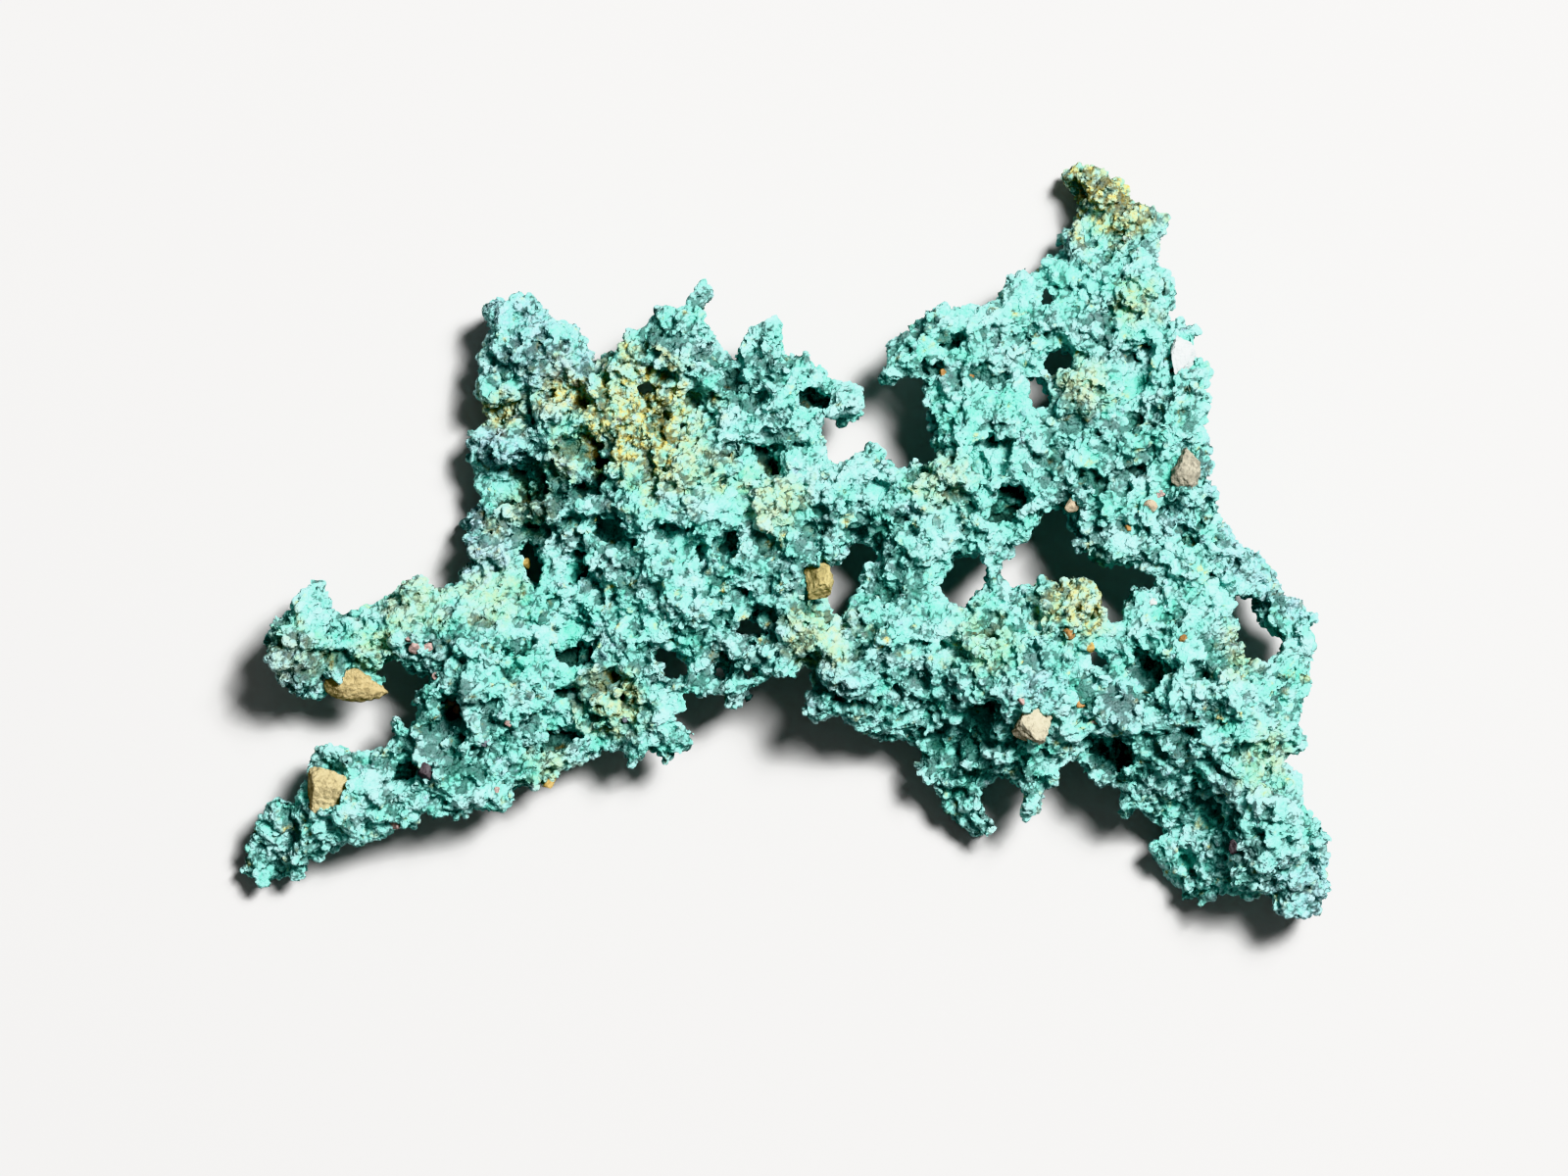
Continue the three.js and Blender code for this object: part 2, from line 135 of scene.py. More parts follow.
# Round clumps and plates of the upper face: place and half widths in pixels, and rise in millimetres
BOSSES = [
    (544, 360, 50, 36, 0.5), (507, 319, 15, 15, 0.7), (537, 308, 17, 14, 0.7), (541, 393, 22, 10, 0.5),
    (506, 456, 28, 22, 0.9), (570, 475, 28, 30, 1.0), (563, 427, 13, 15, 0.6), (555, 521, 20, 18, 0.8),
    (483, 529, 16, 14, 0.5), (494, 564, 24, 22, 0.8), (602, 516, 16, 13, 0.8), (576, 551, 14, 14, 0.7),
    (611, 562, 22, 25, 0.7), (864, 411, 21, 22, 0.6), (691, 350, 44, 31, 0.5), (720, 297, 11, 14, 0.3),
    (711, 320, 9, 9, 0.3), (781, 335, 20, 12, 0.5), (773, 358, 27, 24, 0.4), (1085, 612, 36, 27, 0.6),
    (1096, 240, 16, 14, 0.5), (1074, 266, 14, 14, 0.5), (1038, 291, 18, 16, 0.5), (1098, 402, 30, 26, 0.6),
    (1210, 335, 18, 16, 0.5), (1216, 388, 18, 16, 0.5), (1280, 880, 30, 26, 0.6), (1328, 915, 24, 20, 0.5),
    (1300, 820, 28, 24, 0.5), (1315, 652, 18, 22, 0.4), (1160, 310, 20, 16, 0.4), (314, 613, 17, 15, 0.5),
    (422, 601, 22, 18, 0.5), (289, 656, 24, 22, 0.4), (304, 696, 20, 16, 0.4), (336, 774, 26, 20, 0.5),
    (277, 829, 16, 18, 0.4), (295, 884, 22, 14, 0.4), (262, 880, 12, 12, 0.3), (1118, 190, 32, 24, 0.7),
    (1160, 216, 28, 18, 0.6),
]
BOSS_RAGGEDNESS = 0.3

# Raggedness of the pits and clumps, and how sharply they end where the face turns down
FORM_RAGGED_SIZE = 0.8
FACING_SHARPNESS = 3

# Stains by kind: place and radius in pixels, and strength
STAINS = {
    "ochre": [
        (650, 430, 75, 1.0), (700, 470, 45, 0.6), (575, 400, 40, 0.7), (1135, 195, 60, 1.0),
        (1095, 615, 45, 0.9), (1160, 310, 30, 0.6), (1105, 395, 30, 0.6), (960, 493, 35, 0.5),
        (835, 650, 45, 0.6), (300, 670, 40, 0.5), (420, 610, 40, 0.5), (1265, 665, 30, 0.6),
        (1115, 185, 40, 1.0), (1155, 218, 30, 0.8), (575, 470, 26, 0.6), (507, 540, 14, 1.0),
        (583, 401, 32, 1.0), (510, 421, 28, 0.9),
        (790, 510, 40, 0.6), (625, 715, 40, 0.7), (1290, 775, 35, 0.5), (500, 600, 45, 0.5),
        (380, 660, 30, 0.5), (560, 790, 30, 0.5), (1000, 655, 40, 0.4), (540, 520, 35, 0.5),
    ],
    # The slate patches are a grey tint; those on the left cluster are also painted shade.
    "slate": [
        (585, 370, 30, 0.8), (506, 456, 34, 0.9), (494, 564, 36, 0.9), (1300, 590, 45, 0.7),
        (483, 529, 22, 1.0), (507, 319, 20, 0.8), (537, 308, 20, 0.7), (555, 521, 25, 0.5),
        (1250, 475, 40, 0.7), (290, 690, 45, 0.6), (1340, 910, 50, 0.7), (870, 700, 40, 0.4),
        (544, 360, 60, 0.75), (1140, 720, 35, 0.5), (850, 690, 30, 0.4), (1320, 610, 34, 0.8),
        (1265, 560, 30, 0.7), (1205, 745, 36, 0.5), (1062, 700, 26, 0.7), (1200, 530, 22, 0.6),
    ],
}

# A stain's ragged edge and its flecks: their sizes, how far a patch reaches past its radius, how sharply and
# raggedly it ends, how far flecks thin it out, and how rare and sharp the flecks outside patches are
STAIN_EDGE_SIZE = 1.0
STAIN_FLECK_SIZE = 0.4
STAIN_REACH = 1.1
STAIN_SHARPNESS = 1.6
STAIN_RAGGEDNESS = 0.6
STAIN_COVER = 0.75
STAIN_FLECKING = 1.1
STAIN_LEAST = 0.15
FLECK_RARITY = 0.7
FLECK_SHARPNESS = 1.5

# The crust's tone: its mean, what each nodule, granule and wide patch adds to it, what each millimetre of
# height adds as painted light (paler on high tips, darker low down), the height that adds nothing, and the
# width of the patches
TONE_MEAN = 0.64
TONE_BY_NODULE = 0.1
TONE_BY_GRANULE = 0.1
TONE_BY_PATCH = 0.3
PAINTED_LIGHT_BY_HEIGHT = 0.15
PAINTED_LIGHT_LEVEL = -0.4
TONE_PATCH_SIZE = 1.7

# Its painted shade: in the crevices of the small and the large layers, and with depth from a height down, up
# to a darkest share
PAINTED_SHADE_IN_NODULES = 0.15
PAINTED_SHADE_IN_CLUMPS = 0.8
PAINTED_SHADE_FROM = -1.05
PAINTED_SHADE_OVER = 0.7
DARKEST_PAINTED_SHADE = 0.97

# Specks of other minerals: place and width in pixels, and colour
SPECKS = [
    (434, 786, 22, "umber"), (404, 840, 18, "rose"), (497, 757, 12, "slate"), (462, 716, 12, "rose"),
    (425, 660, 14, "rose"), (559, 797, 14, "ochre"), (990, 383, 12, "orange"), (1100, 718, 12, "orange"),
    (1205, 652, 12, "orange"), (1258, 863, 14, "umber"), (1173, 517, 16, "tan"), (1092, 515, 14, "tan"),
    (533, 575, 12, "ochre"), (1090, 645, 14, "orange"), (1175, 615, 8, "white"), (447, 690, 10, "rose"),
    (468, 722, 11, "rose"), (520, 738, 11, "rose"), (509, 806, 10, "rose"), (437, 660, 11, "rose"),
    (417, 652, 10, "rose"), (1115, 735, 10, "rose"), (1040, 712, 12, "rose"), (1183, 505, 12, "rose"),
    (962, 382, 10, "orange"), (1110, 660, 12, "ochre"), (1150, 540, 9, "orange"), (640, 735, 9, "slate"),
]
SPECK_COLOURS = {
    "umber": (0.05, 0.04, 0.045), "rose": (0.3, 0.21, 0.19), "slate": (0.12, 0.13, 0.15),
    "ochre": (0.29, 0.2, 0.06), "orange": (0.24, 0.13, 0.045), "tan": (0.32, 0.26, 0.18),
    "white": (0.42, 0.43, 0.42),
}
# How deep a speck sinks, as a share of its half height, and how far its sides differ
SPECK_SINK = 0.4
SPECK_STRETCH = (0.7, 1.15)

# Crumbs of rock: slot and colour
CRUMBS = {
    "ochre_crumb_lower_arm": ("ochre_rock", (0.34, 0.285, 0.15)),
    "ochre_crumb_upper_arm": ("ochre_rock", (0.31, 0.245, 0.115)),
    "ochre_crumb_bridge": ("ochre_rock", (0.3, 0.25, 0.105)),
    "tan_crumb_lower_band": ("tan_rock", (0.36, 0.33, 0.24)),
    "tan_crumb_right_edge": ("tan_rock", (0.22, 0.205, 0.155)),
    "quartz_grain": ("quartz", (0.55, 0.57, 0.57)),
}
# A crumb's grid, how far it is grown, the number of its cuts and how far out they lie, as shares of its
# reach, and its grain's size and height
CRUMB_VOXEL = 0.08
CRUMB_GROWTH = 0.15
CRUMB_CUTS = 10
CRUMB_CUT_REACH = (0.5, 0.85)
CRUMB_GRAIN = 0.22
CRUMB_ROUGHNESS = 0.05

# The materials: cells or waves per metre of each pattern, roughness, and the finest relief's depth in metres
CRUST_ROUGHNESS = 0.8
CRUST_MOTTLE = 4500.0
CRUST_MOTTLE_SHARE = 0.6
CRUST_GRAINS = 6000.0
CRUST_GRIT = 5200.0
CRUST_GRIT_SHARE = -1.5
CRUST_RELIEF = -0.00012
ROCK_ROUGHNESS = 0.85
QUARTZ_ROUGHNESS = 0.4
ROCK_MOTTLE = 1500.0
ROCK_GRAINS = 5500.0
ROCK_GRAIN_SHARE = 0.35
ROCK_GRIT = 5000.0
ROCK_RELIEF = 0.0002
ROCK_DARK = 0.55
ROCK_PALE = 1.35
ROCK_PALE_LIFT = 0.03
NOISE_ROUGHNESS = 0.7
SPECULAR = 0.3

# The stage, in metres: floor, key light, fill and camera
FLOOR_SIZE = 4.0
FLOOR_COLOUR = (0.42, 0.415, 0.41, 1)
FLOOR_ROUGHNESS = 0.9
KEY_PLACE = (0.18, 0.16, 0.435)
KEY_SIZE = 0.14
KEY_ENERGY = 8.6
FILL_STRENGTH = 0.2
CAMERA_LENS = 200.0
CAMERA_SENSOR = 36.0


def plan_point(column, row):
    """A pixel of the picture as a point of the plan."""
    return (np.array([column, row]) - PLAN_CENTRE) * (MM_PER_PIXEL, -MM_PER_PIXEL)


def away_from(points, column, row, across, along):
    """How far points lie from a place in the plan, measured in its half widths."""
    return (points[:, :2] - plan_point(column, row)) / (across * MM_PER_PIXEL, along * MM_PER_PIXEL)


def mesh_arrays(mesh):
    """A mesh's corners in millimetres, and its triangles."""
    mesh.calc_loop_triangles()
    corners = np.empty(len(mesh.vertices) * 3)
    mesh.vertices.foreach_get("co", corners)
    triangles = np.empty(len(mesh.loop_triangles) * 3, dtype=np.int64)
    mesh.loop_triangles.foreach_get("vertices", triangles)
    return corners.reshape(-1, 3) / MM, triangles.reshape(-1, 3)


def corner_normals(corners, triangles):
    """The direction straight out of a surface at each corner."""
    a, b, c = (corners[triangles[:, k]] for k in range(3))
    faces = np.cross(b - a, c - a)
    normals = np.zeros_like(corners)
    for k in range(3):
        np.add.at(normals, triangles[:, k], faces)
    return normals / np.maximum(np.linalg.norm(normals, axis=1, keepdims=True), 1e-12)


def facing_up(normals):
    """1 on faces that look up, falling to 0 where they turn to the side."""
    return np.clip(FACING_SHARPNESS * normals[:, 2], 0, 1)


def new_object(name, corners, triangles, scale=MM):
    """A mesh object from corners and triangles."""
    mesh = bpy.data.meshes.new(name)
    mesh.from_pydata((corners * scale).tolist(), [], triangles.tolist())
    obj = bpy.data.objects.new(name, mesh)
    bpy.context.scene.collection.objects.link(obj)
    return obj


def fused(corners, triangles, voxel):
    """The outer skin of overlapping closed shapes, on a fine grid."""
    obj = new_object("fusing", corners, triangles, scale=1.0)
    remesh = obj.modifiers.new("fuse", "REMESH")
    remesh.mode = "VOXEL"
    remesh.voxel_size = voxel
    evaluated = obj.evaluated_get(bpy.context.evaluated_depsgraph_get())
    skin, skin_triangles = mesh_arrays(evaluated.to_mesh())
    evaluated.to_mesh_clear()
    bpy.data.objects.remove(obj)
    return skin * MM, skin_triangles


def largest_surface(corners, triangles):
    """The largest surface that hangs together, without the loose grains around it."""
    label = np.arange(len(corners))
    changed = True
    while changed:
        before = label.copy()
        lowest = label[triangles].min(axis=1)
        for k in range(3):
            np.minimum.at(label, triangles[:, k], lowest)
        label = label[label]
        changed = not np.array_equal(label, before)
    main = np.bincount(label).argmax()
    used, local = np.unique(triangles[label[triangles[:, 0]] == main], return_inverse=True)
    return corners[used], local.reshape(-1, 3)


def smoothed(corners, triangles):
    """Corners drawn to the middle of their neighbours, which takes out the grid's small steps."""
    for _ in range(SMOOTHING_ROUNDS):
        sums = np.zeros_like(corners)
        counts = np.zeros(len(corners))
        for k in range(3):
            for other in (k - 1, k - 2):
                np.add.at(sums, triangles[:, k], corners[triangles[:, other]])
                np.add.at(counts, triangles[:, k], 1)
        corners = 0.5 * (corners + sums / counts[:, None])
    return corners


def joined(*shapes):
    """Several sets of corners and triangles as one."""
    corners, triangles, first = [], [], 0
    for shape_corners, shape_triangles in shapes:
        corners.append(shape_corners)
        triangles.append(shape_triangles + first)
        first += len(shape_corners)
    return np.concatenate(corners), np.concatenate(triangles)


def grown(corners, triangles, growth):
    """A rounded shape with every corner moved out from its middle by the same length."""
    out = corners - 0.5 * (corners.min(axis=0) + corners.max(axis=0))
    return corners + growth * out / np.linalg.norm(out, axis=1, keepdims=True), triangles


def cloud(points, size, octaves=3, softness=0.9):
    """Soft noise from about -1 to 1 at each point, with features of a size."""
    places = (points / size).tolist()
    return np.array([noise.fractal(Vector(place), softness, OCTAVE_STEP, octaves) for place in places])


def push(points, size, shift):
    """A ragged push in some direction at each point."""
    moved = [points + shift + SHIFTS["axis"] * axis for axis in range(3)]
    return np.stack([cloud(places, size, octaves=4, softness=0.6) for places in moved], axis=1)


def stain_at(points, kind):
    """How strongly a kind of stain shows at each point: ragged patches, and thin flecks everywhere."""
    ragged = cloud(points + SHIFTS[kind], STAIN_EDGE_SIZE, octaves=4)
    flecks = cloud(points + 2 * SHIFTS[kind], STAIN_FLECK_SIZE)
    amount = FLECK_SHARPNESS * (ragged + flecks - FLECK_RARITY)
    cover = np.clip(STAIN_COVER + STAIN_FLECKING * flecks, STAIN_LEAST, 1)
    for column, row, radius, strength in STAINS[kind]:
        away = np.linalg.norm(away_from(points, column, row, radius, radius), axis=1)
        patch = np.clip(STAIN_SHARPNESS * (STAIN_REACH - away + STAIN_RAGGEDNESS * ragged), 0, 1)
        amount = np.maximum(amount, strength * patch * cover)
    return np.clip(amount, 0, 1)


def pit_at(points, normals):
    """How deep in a pit of the upper face each point lies, from 0 to 1."""
    depth = np.zeros(len(points))
    for pit in PITS:
        depth = np.maximum(depth, 1 + PIT_RIM - np.linalg.norm(away_from(points, *pit), axis=1))
    ragged = np.where(depth > 0, cloud(points + SHIFTS["pit"], FORM_RAGGED_SIZE), 0)
    return np.clip(PIT_STEEPNESS * (depth - PIT_RIM) + ragged, 0, 1) * facing_up(normals)


def boss_at(points, normals):
    """How far the round clumps of the upper face stand out at each point."""
    rise = np.zeros(len(points))
    ragged = BOSS_RAGGEDNESS * cloud(points + SHIFTS["boss"], FORM_RAGGED_SIZE)
    for *place, top in BOSSES:
        inside = np.clip(1.0 - (away_from(points, *place)**2).sum(axis=1) + ragged, 0, 1)
        rise = np.maximum(rise, top * np.sqrt(inside))
    return rise * facing_up(normals)


def layer_height(points, pushes, layer):
    """How far a layer stands out at points, how deep in its crevices they are, and a number by cell."""
    ragged = (points + layer.warp * pushes) / layer.cell
    found = [noise.voronoi(Vector(place)) for place in ragged.tolist()]
    out = np.array([distances[0] for distances, _ in found])
    edge = np.array([distances[1] - distances[0] for distances, _ in found])
    own = np.array([noise.cell(middles[0]) for _, middles in found])
    sway = CREVICE_SWAY * cloud(points + SHIFTS["crevice_and_painted_shade"], CREVICE_RUN * layer.cell)
    width = layer.width * np.clip(CREVICE_MEAN + sway, *CREVICE_LIMITS)
    crevice_and_painted_shade = np.clip((width - edge) / (CREVICE_SLOPE * width), 0, 1)
    height = layer.dome * (DOME_LEVEL - out**2) + 0.5 * layer.step * own - layer.depth * crevice_and_painted_shade
    return height, crevice_and_painted_shade, own


def thickness_at(solid, points, normals):
    """How far it is from each point, straight in, to the other side of the solid."""
    thickness = np.full(len(points), FULL_THICKNESS)
    for index, (point, normal) in enumerate(zip(points.tolist(), normals.tolist())):
        inward = -Vector(normal)
        start = Vector(point) + 2 * BASE_VOXEL * inward
        distance = solid.ray_cast(start, inward, FULL_THICKNESS)[3]
        if distance is not None:
            thickness[index] = distance
    return thickness


def broken_up(solid, corners, triangles, rocks):
    """The solid's surface broken up into lobes and clumps that overhang, its heights and its crevices."""
    normals = corner_normals(corners, triangles)
    pushes = push(corners, CLUMPS.cell, SHIFTS["base"])
    lobes, lobe_crevice, _ = layer_height(corners, pushes, LOBES)
    clumps, clump_crevice, _ = layer_height(corners, pushes, CLUMPS)
    height = CRUST_TOP + lobes + clumps - PIT_DEPTH * pit_at(corners, normals)
    height += boss_at(corners, normals)
    thickness = thickness_at(solid, corners, normals)
    share = np.clip(thickness / FULL_THICKNESS, THIN_SHARE, 1)
    share *= RIM_SHARE + (1 - RIM_SHARE) * np.abs(normals[:, 2])
    on_rock = [rocks.find_nearest(Vector(place), ROCK_CLEAR)[0] is not None for place in corners.tolist()]
    height = np.where(on_rock, -np.minimum(ROCK_SINK, thickness / ROCK_SINK_PART), height * share)
    sideways = OVERHANG * share[:, None] * np.roll(pushes, 1, axis=1)
    sideways -= (sideways * normals).sum(axis=1, keepdims=True) * normals
    moved = corners + normals * height[:, None] + sideways
    return moved, height, np.maximum(lobe_crevice, clump_crevice)


def nearest_corners(points, corners, triangles):
    """The corner of the nearest triangle to each point."""
    surface = BVHTree.FromPolygons(corners.tolist(), triangles.tolist())
    return triangles[[surface.find_nearest(Vector(point))[2] for point in points.tolist()], 0]


def skin_shades(skin, height, crevice_and_painted_shade, nodule, granule):
    """What the crust's material reads at each corner of the skin."""
    patch = cloud(skin + SHIFTS["tone_and_painted_light"], TONE_PATCH_SIZE)
    tone_and_painted_light = TONE_MEAN + TONE_BY_NODULE * nodule + TONE_BY_GRANULE * granule + TONE_BY_PATCH * patch
    # Height adds painted light: high tips paler, low places darker.
    tone_and_painted_light += PAINTED_LIGHT_BY_HEIGHT * (height - PAINTED_LIGHT_LEVEL)
    # Painted shade: darker with depth below a height, and darker in the crevices.
    sunk = (PAINTED_SHADE_FROM - height) / PAINTED_SHADE_OVER
    return {
        "ochre": stain_at(skin, "ochre"),
        "slate": stain_at(skin, "slate"),
        "tone_and_painted_light": np.clip(tone_and_painted_light, 0, 1),
        "crevice_and_painted_shade": np.clip(np.maximum(sunk, crevice_and_painted_shade), 0, DARKEST_PAINTED_SHADE),
    }


def skin_shape():
    """The crust's skin, lobes and clumps covered with nodules and granules, and its shades."""
    rocks = joined(*(grown(*mesh_arrays(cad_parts[name].data), ROCK_GROWTH) for name in CRUMBS))
    copper = mesh_arrays(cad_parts["copper_nugget"].data)
    corners, triangles = fused(*joined(copper, rocks), BASE_VOXEL)
    solid = BVHTree.FromPolygons(corners.tolist(), triangles.tolist())
    rocks = BVHTree.FromPolygons(*(part.tolist() for part in rocks))
    base, base_height, base_crevice = broken_up(solid, corners, triangles, rocks)

    skin, skin_triangles = largest_surface(*fused(base, triangles, SKIN_VOXEL))
    skin = smoothed(skin, skin_triangles)
    nearest = nearest_corners(skin, base, triangles)
    normals = corner_normals(skin, skin_triangles)
    pushes = push(skin, NODULES.cell, SHIFTS["skin"])
    nodules, nodule_crevice, nodule = layer_height(skin, pushes, NODULES)
    granules, _, granule = layer_height(skin, pushes, GRANULES)
    skin = skin + normals * (nodules + granules)[:, None]
    skin[:, 2] = np.maximum(skin[:, 2], 0)

    height = base_height[nearest] + nodules + granules
    # Painted shade in the crevices of the nodules, and of the lobes and clumps.
    crevice_and_painted_shade = np.maximum(PAINTED_SHADE_IN_NODULES * nodule_crevice, PAINTED_SHADE_IN_CLUMPS * base_crevice[nearest])
    return skin, skin_triangles, skin_shades(skin, height, crevice_and_painted_shade, nodule, granule)


def set_attribute(obj, name, values):
    """One number for each of an object's corners, under a name."""
    attribute = obj.data.attributes.new(name, "FLOAT", "POINT")
    attribute.data.foreach_set("value", np.asarray(values, dtype=np.float32))


def finish_piece(obj, material, replaced=()):
    """Gives a piece its material and body, and hides the nodes that it stands for."""
    obj.data.materials.append(material)
    obj.data.polygons.foreach_set("use_smooth", np.ones(len(obj.data.polygons), dtype=bool))
    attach(obj, "root")
    for node_name in replaced:
        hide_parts(node_name)


def node(tree, kind, **inputs):
    """A shader node with some of its inputs set. A name has _ where the input has a space."""
    made = tree.nodes.new(kind)
    for name, value in inputs.items():
        made.inputs[name.replace("_", " ")].default_value = value
    return made


def noise_node(tree, place, scale, detail):
    """Noise from 0 to 1 over the object."""
    made = node(tree, "ShaderNodeTexNoise", Scale=scale, Detail=detail, Roughness=NOISE_ROUGHNESS)
    tree.links.new(place.outputs["Object"], made.inputs["Vector"])
    return made.outputs["Fac"]


def grain_node(tree, place, scale):
    """Cells packed over the object."""
    made = node(tree, "ShaderNodeTexVoronoi", Scale=scale)
    tree.links.new(place.outputs["Object"], made.inputs["Vector"])
    return made


def ramp(tree, factor, stops):
    """A factor turned into a colour by stops of position and colour."""
    made = tree.nodes.new("ShaderNodeValToRGB")
    elements = made.color_ramp.elements
    while len(elements) < len(stops):
        elements.new(1.0)
    for element, (position, colour) in zip(elements, stops):
        element.position = position
        element.color = (*colour, 1.0)
    tree.links.new(factor, made.inputs["Fac"])
    return made.outputs["Color"]


def mixed(tree, factor, first, second):
    """Two colours mixed by a factor. A colour is a socket or three numbers."""
    made = tree.nodes.new("ShaderNodeMix")
    made.data_type = "RGBA"
    tree.links.new(factor, made.inputs[0])
    for colour, socket in ((first, made.inputs[6]), (second, made.inputs[7])):
        if isinstance(colour, bpy.types.NodeSocket):
            tree.links.new(colour, socket)
        else:
            socket.default_value = (*colour, 1.0)
    return made.outputs[2]


def swayed(tree, value, sway, share):
    """A value made larger and smaller by a share of a noise around one half."""
    scaled = tree.nodes.new("ShaderNodeMath")
    scaled.operation = "MULTIPLY_ADD"
    tree.links.new(sway, scaled.inputs[0])
    scaled.inputs[1].default_value = share
    scaled.inputs[2].default_value = -0.5 * share
    total = tree.nodes.new("ShaderNodeMath")
    tree.links.new(scaled.outputs[0], total.inputs[0])
    tree.links.new(value, total.inputs[1])
    return total.outputs[0]


def attribute_node(tree, name):
    """The number that set_attribute gave under a name."""
    made = tree.nodes.new("ShaderNodeAttribute")
    made.attribute_name = name
    return made.outputs["Fac"]


def new_material(name, roughness):
    """A material with its node tree, its shader and a node that tells places on the object."""
    material = bpy.data.materials.new(name)
    material.use_nodes = True
    tree = material.node_tree
    shader = tree.nodes["Principled BSDF"]
    shader.inputs["Roughness"].default_value = roughness
    shader.inputs["Specular IOR Level"].default_value = SPECULAR
    place = tree.nodes.new("ShaderNodeTexCoord")
    return material, tree, shader, place


def add_bump(tree, shader, height, distance):
    """The finest relief, by the shader's normal."""
    bump = node(tree, "ShaderNodeBump", Distance=distance)
    tree.links.new(height, bump.inputs["Height"])
    tree.links.new(bump.outputs["Normal"], shader.inputs["Normal"])


def crust_material():
    """Turquoise crust: a painted highlight on its high tips, painted shade in its crevices and low places,
    stained ochre and slate in places, the slate partly painted shade on the left cluster.
    """
    material, tree, shader, place = new_material("green_crust", CRUST_ROUGHNESS)
    fine = noise_node(tree, place, CRUST_MOTTLE, detail=3.0)
    green = ramp(tree, swayed(tree, attribute_node(tree, "tone_and_painted_light"), fine, CRUST_MOTTLE_SHARE), [
        (0.1, (0.04, 0.28, 0.21)), (0.3, (0.11, 0.47, 0.37)), (0.46, (0.21, 0.63, 0.54)),
        (0.64, (0.28, 0.66, 0.6)), (0.92, (0.43, 0.73, 0.71)),
    ])
    yellow = ramp(tree, fine, [
        (0.3, (0.25, 0.17, 0.03)), (0.45, (0.42, 0.35, 0.09)), (0.54, (0.5, 0.52, 0.2)),
        (0.64, (0.42, 0.69, 0.49)),
    ])
    stained = mixed(tree, attribute_node(tree, "ochre"), green, yellow)
    # Slate-grey tint with a near-black end; on the left cluster it is also painted shade.
    grey = ramp(tree, fine, [
        (0.32, (0.05, 0.06, 0.09)), (0.5, (0.2, 0.34, 0.38)), (0.68, (0.5, 0.66, 0.7)),
    ])
    slated = mixed(tree, attribute_node(tree, "slate"), stained, grey)
    # Painted shade: near-black green, browner where stained ochre, laid over crevices and deep places.
    dark = mixed(tree, attribute_node(tree, "ochre"), (0.005, 0.02, 0.014), (0.045, 0.032, 0.006))
    with_painted_shade = mixed(tree, attribute_node(tree, "crevice_and_painted_shade"), slated, dark)
    tree.links.new(with_painted_shade, shader.inputs["Base Color"])
    grains = grain_node(tree, place, CRUST_GRAINS)
    grit = noise_node(tree, place, CRUST_GRIT, detail=4.0)
    add_bump(tree, shader, swayed(tree, grains.outputs["Distance"], grit, CRUST_GRIT_SHARE), CRUST_RELIEF)
    return material


def rock_material(name, colour, roughness=ROCK_ROUGHNESS):
    """Sandy rock: one colour, mottled darker and paler, with sand grains of several shades."""
    material, tree, shader, place = new_material(name, roughness)
    mottle = noise_node(tree, place, ROCK_MOTTLE, detail=6.0)
    grains = grain_node(tree, place, ROCK_GRAINS)
    dark = tuple(ROCK_DARK * channel for channel in colour)
    pale = tuple(ROCK_PALE * channel + ROCK_PALE_LIFT for channel in colour)
    shade = ramp(tree, swayed(tree, mottle, grains.outputs["Color"], ROCK_GRAIN_SHARE), [
        (0.25, dark), (0.45, colour), (0.72, pale),
    ])
    tree.links.new(shade, shader.inputs["Base Color"])
    add_bump(tree, shader, noise_node(tree, place, ROCK_GRIT, detail=5.0), ROCK_RELIEF)
    return material


def patches(corners, triangles):
    """The skin's triangles in strips along X of about the same number."""
    order = np.argsort(corners[triangles].mean(axis=1)[:, 0], kind="stable")
    return [triangles[part] for part in np.array_split(order, SKIN_PATCHES)]


def make_skin():
    """The crust in a few patches, with the attributes that its material reads. Gives back its surface."""
    material = crust_material()
    corners, triangles, shades = skin_shape()
    for number, patch in enumerate(patches(corners, triangles), start=1):
        used, local = np.unique(patch, return_inverse=True)
        obj = new_object(f"crust_{number}", corners[used], local.reshape(-1, 3))
        for name, values in shades.items():
            set_attribute(obj, name, values[used])
        finish_piece(obj, material, ["copper_nugget"] if number == 1 else [])
    return BVHTree.FromPolygons(corners.tolist(), triangles.tolist())


def chipped(corners, triangles):
    """A rounded shape cut back to flat facets in random directions, with a fine grain."""
    middle = 0.5 * (corners.min(axis=0) + corners.max(axis=0))
    shape = corners - middle
    for _ in range(CRUMB_CUTS):
        direction = rng.normal(size=3)
        direction /= np.linalg.norm(direction)
        along = shape @ direction
        over = np.maximum(along - rng.uniform(*CRUMB_CUT_REACH) * along.max(), 0)
        shape = shape - over[:, None] * direction
    shape *= np.ptp(corners, axis=0) / np.ptp(shape, axis=0)
    grain = CRUMB_ROUGHNESS * cloud(corners, CRUMB_GRAIN) * np.ptp(shape, axis=0).min()
    return middle + shape + corner_normals(shape, triangles) * grain[:, None]


def make_crumb(name, slot, colour):
    """A crumb of rock, with flatter facets and more grain than its solid."""
    solid = grown(*mesh_arrays(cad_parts[name].data), CRUMB_GROWTH)
    corners, triangles = fused(*solid, CRUMB_VOXEL)
    obj = new_object(name + "_look", chipped(corners, triangles), triangles)
    roughness = QUARTZ_ROUGHNESS if slot == "quartz" else ROCK_ROUGHNESS
    finish_piece(obj, rock_material(name, colour, roughness), [name])


def ball():
    """An icosphere's corners and triangles."""
    shape = bmesh.new()
    bmesh.ops.create_icosphere(shape, subdivisions=3, radius=1.0)
    corners = np.array([vertex.co for vertex in shape.verts])
    triangles = np.array([[vertex.index for vertex in face.verts] for face in shape.faces])
    shape.free()
    return corners, triangles


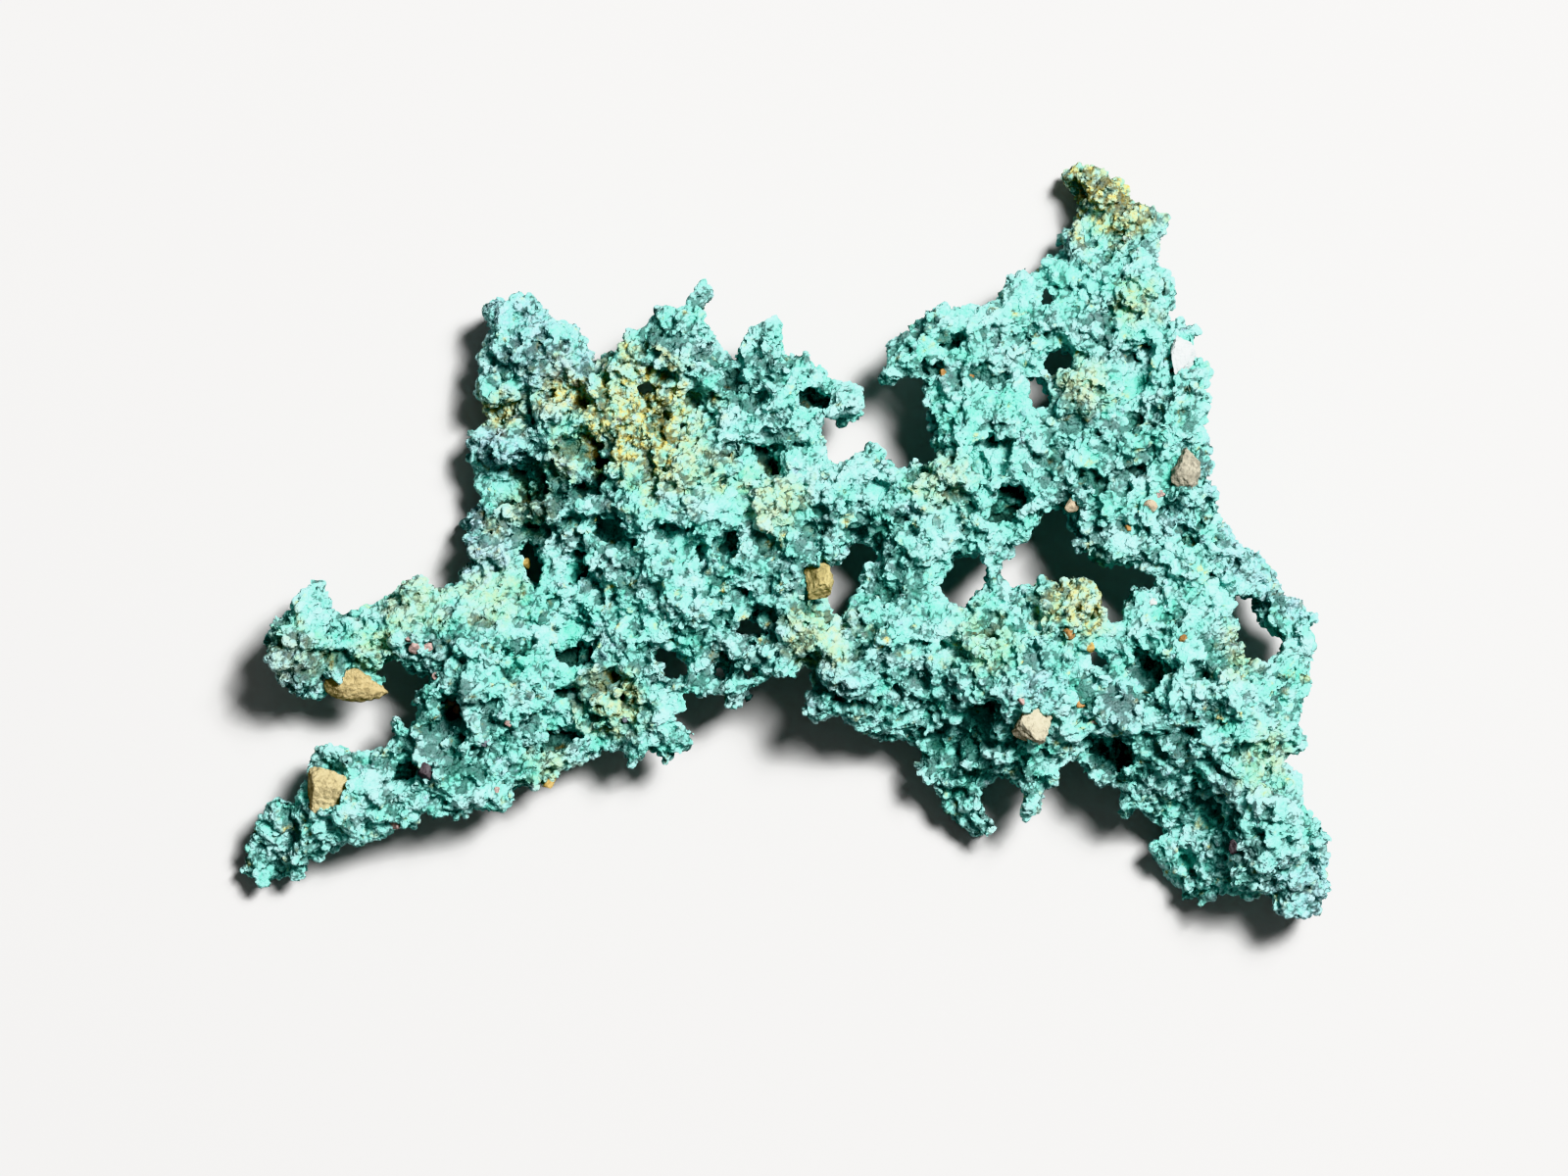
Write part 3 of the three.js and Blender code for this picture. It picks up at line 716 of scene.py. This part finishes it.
def place_on(surface, column, row):
    """The highest point of a surface at a pixel of the picture, or else its nearest point."""
    x, y = plan_point(column, row)
    hit = surface.ray_cast(Vector((x, y, LENGTH)), Vector((0, 0, -1)))[0]
    return np.array(hit or surface.find_nearest(Vector((x, y, MIDDLE)))[0])


def make_specks(surface):
    """Grains of other minerals sunk in the crust's upper face at their places, a piece for each colour."""
    corners, triangles = ball()
    for colour_name, colour in SPECK_COLOURS.items():
        grains = []
        for column, row, width in (speck[:3] for speck in SPECKS if speck[3] == colour_name):
            half = 0.5 * width * MM_PER_PIXEL * rng.uniform(*SPECK_STRETCH, 3)
            sunk = place_on(surface, column, row) - (0, 0, SPECK_SINK * half[2])
            grains.append((chipped(corners * half, triangles) + sunk, triangles))
        obj = new_object(f"specks_{colour_name}", *joined(*grains))
        finish_piece(obj, rock_material(f"speck_{colour_name}", colour))


def make_floor():
    """A plain pale floor."""
    bpy.ops.mesh.primitive_plane_add(size=FLOOR_SIZE)
    floor = bpy.context.object
    floor.name = "floor"
    material = bpy.data.materials.new("floor")
    material.use_nodes = True
    shader = material.node_tree.nodes["Principled BSDF"]
    shader.inputs["Base Color"].default_value = FLOOR_COLOUR
    shader.inputs["Roughness"].default_value = FLOOR_ROUGHNESS
    floor.data.materials.append(material)


def make_lights():
    """A soft key light from the upper right, and a weak fill from all around."""
    key = bpy.data.lights.new("key", "AREA")
    key.size = KEY_SIZE
    key.energy = KEY_ENERGY
    key_object = bpy.data.objects.new("key", key)
    key_object.location = KEY_PLACE
    key_object.rotation_euler = (-key_object.location).to_track_quat("-Z", "Y").to_euler()
    bpy.context.scene.collection.objects.link(key_object)

    world = bpy.data.worlds.new("studio")
    world.use_nodes = True
    background = world.node_tree.nodes["Background"]
    background.inputs["Color"].default_value = (1.0, 1.0, 1.0, 1)
    background.inputs["Strength"].default_value = FILL_STRENGTH
    bpy.context.scene.world = world
    bpy.context.scene.view_settings.view_transform = "Khronos PBR Neutral"


def make_camera():
    """The camera straight above the middle of the picture, far enough to take in its width."""
    camera = bpy.data.cameras.new("camera")
    camera.lens = CAMERA_LENS
    camera.sensor_width = CAMERA_SENSOR
    camera_object = bpy.data.objects.new("camera", camera)
    x, y = plan_point(*PICTURE_CENTRE) * MM
    distance = PICTURE_WIDTH * MM_PER_PIXEL * MM * CAMERA_LENS / CAMERA_SENSOR
    camera_object.location = (x, y, MIDDLE * MM + distance)
    bpy.context.scene.collection.objects.link(camera_object)
    bpy.context.scene.camera = camera_object


crust_surface = make_skin()
make_specks(crust_surface)
for crumb_name, (crumb_slot, crumb_colour) in CRUMBS.items():
    make_crumb(crumb_name, crumb_slot, crumb_colour)
make_floor()
make_lights()
make_camera()
